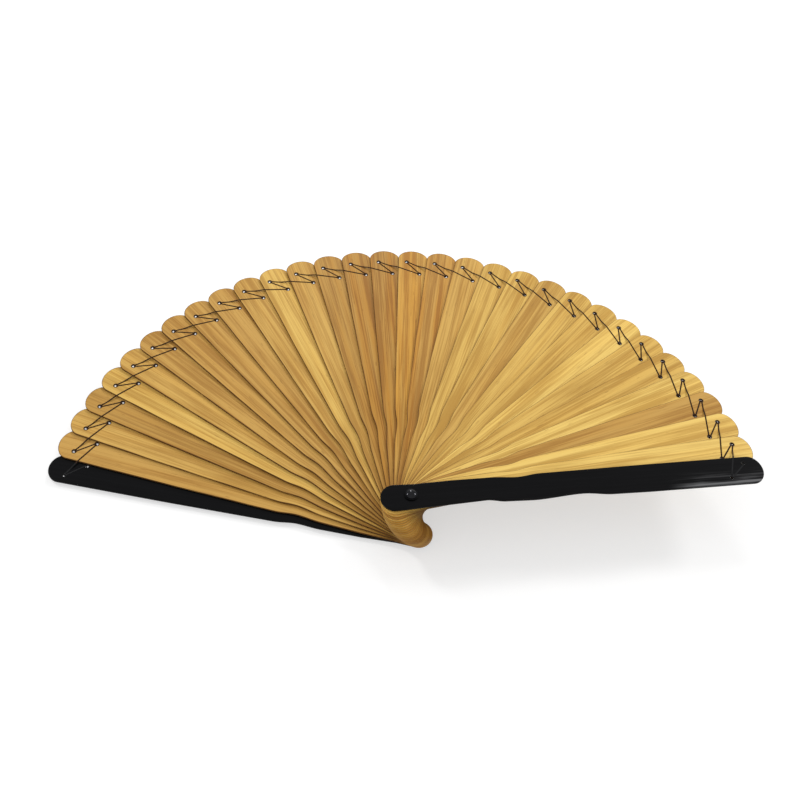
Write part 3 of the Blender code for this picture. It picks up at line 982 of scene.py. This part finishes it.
def add_lamp(name, place, size, power):
    light = bpy.data.lights.new(name, "AREA")
    light.shape = "DISK"
    light.size = size
    light.energy = power
    lamp = bpy.data.objects.new(name, light)
    lamp.location = place
    aim = Vector(LAMP_AIM) - Vector(place)
    lamp.rotation_euler = aim.to_track_quat("-Z", "Y").to_euler()
    bpy.context.scene.collection.objects.link(lamp)


class FAN_OT_add_stage(bpy.types.Operator):
    """Add the pale floor, the soft lamps and the camera"""
    bl_idname = "fan.add_stage"
    bl_label = "Add Stage"

    def execute(self, context):
        scene = context.scene
        settings = scene.fan_stage
        self.add_floor(scene, settings)
        self.add_light(scene, settings)
        self.add_camera(scene, settings)
        scene.view_settings.view_transform = "Standard"
        return {"FINISHED"}

    def add_floor(self, scene, settings):
        """A plain floor that looks white, but lights the fan no more than its own colour does."""
        shape = bmesh.new()
        bmesh.ops.create_grid(shape, x_segments=1, y_segments=1, size=settings.floor_size / 2)
        mesh = bpy.data.meshes.new("floor")
        shape.to_mesh(mesh)
        shape.free()
        surface = new_surface("pale_floor")
        seen = (surface.node("ShaderNodeLightPath", output="Is Camera Ray")
                + surface.node("ShaderNodeLightPath", output="Is Glossy Ray"))
        glow = surface.mixed(seen, rgba((0.0, 0.0, 0.0)), rgba(FLOOR_GLOW))
        surface.finish(base_color=rgba(settings.floor_colour), roughness=0.9,
                       emission_color=glow, emission_strength=1.0, specular_ior_level=0.1)
        mesh.materials.append(bpy.data.materials["pale_floor"])
        floor = bpy.data.objects.new("floor", mesh)
        scene.collection.objects.link(floor)

    def add_light(self, scene, settings):
        """A soft sky, white where it is seen or mirrored, and three round lamps."""
        world = bpy.data.worlds.new("studio")
        scene.world = world
        sky = Surface(world, "Background")
        seen = (sky.node("ShaderNodeLightPath", output="Is Camera Ray")
                + sky.node("ShaderNodeLightPath", output="Is Glossy Ray")
                + sky.node("ShaderNodeLightPath", output="Is Transmission Ray"))
        white = sky.ramp(seen, 0.0, 1.0)
        sky.finish(color=rgba((1.0, 1.0, 1.0)),
                   strength=settings.sky_level + white * (1.0 - settings.sky_level))
        add_lamp("key_lamp", KEY_PLACE, KEY_SIZE, settings.key_power)
        add_lamp("left_lamp", LEFT_PLACE, FILL_SIZE, settings.fill_power)
        add_lamp("back_lamp", BACK_PLACE, FILL_SIZE, settings.fill_power * BACK_LAMP_SHARE)

    def add_camera(self, scene, settings):
        elevation, azimuth, roll = settings.elevation, settings.azimuth, settings.roll
        back = Vector((math.sin(azimuth) * math.cos(elevation),
                       -math.cos(azimuth) * math.cos(elevation), math.sin(elevation)))
        right = Vector((math.cos(azimuth), math.sin(azimuth), 0.0))
        up = back.cross(right)
        side = right * math.cos(roll) - up * math.sin(roll)
        rise = right * math.sin(roll) + up * math.cos(roll)
        lens = bpy.data.cameras.new("camera")
        lens.sensor_width = SENSOR_WIDTH
        lens.lens = settings.focal_length
        lens.clip_start = CLIP_START
        camera = bpy.data.objects.new("camera", lens)
        turn = Matrix((side, rise, back)).transposed().to_4x4()
        camera.matrix_world = Matrix.Translation(CAMERA_AIM + back * settings.distance) @ turn
        scene.collection.objects.link(camera)
        scene.camera = camera


class FAN_PT_panel(bpy.types.Panel):
    """Lists the fan's pieces in the 3D view's sidebar"""
    bl_idname = "FAN_PT_panel"
    bl_label = "Folding Fan"
    bl_space_type = "VIEW_3D"
    bl_region_type = "UI"
    bl_category = "Fan"

    def draw(self, context):
        for operator, owner in OPERATORS.items():
            box = self.layout.box()
            settings = getattr(context.scene, owner)
            for name in GROUPS[owner].__annotations__:
                box.prop(settings, name)
            box.operator(operator)


OPERATORS = {
    "fan.add_blades": "fan_blades",
    "fan.add_guards": "fan_guards",
    "fan.add_rivet": "fan_rivet",
    "fan.add_lacing": "fan_lacing",
    "fan.add_stage": "fan_stage",
}

GROUPS = {
    "fan_blades": FanBladeSettings,
    "fan_guards": FanGuardSettings,
    "fan_rivet": FanRivetSettings,
    "fan_lacing": FanLacingSettings,
    "fan_stage": FanStageSettings,
}

CLASSES = (
    *GROUPS.values(),
    FAN_OT_add_blades,
    FAN_OT_add_guards,
    FAN_OT_add_rivet,
    FAN_OT_add_lacing,
    FAN_OT_add_stage,
    FAN_PT_panel,
)


def register():
    for made in CLASSES:
        bpy.utils.register_class(made)
    for name, group in GROUPS.items():
        setattr(bpy.types.Scene, name, PointerProperty(type=group))


def unregister():
    for name in GROUPS:
        delattr(bpy.types.Scene, name)
    for made in reversed(CLASSES):
        bpy.utils.unregister_class(made)


def main():
    register()
    bpy.ops.fan.add_stage()
    bpy.ops.fan.add_blades()
    bpy.ops.fan.add_guards()
    bpy.ops.fan.add_rivet()
    bpy.ops.fan.add_lacing()


if __name__ == "__main__":
    main()
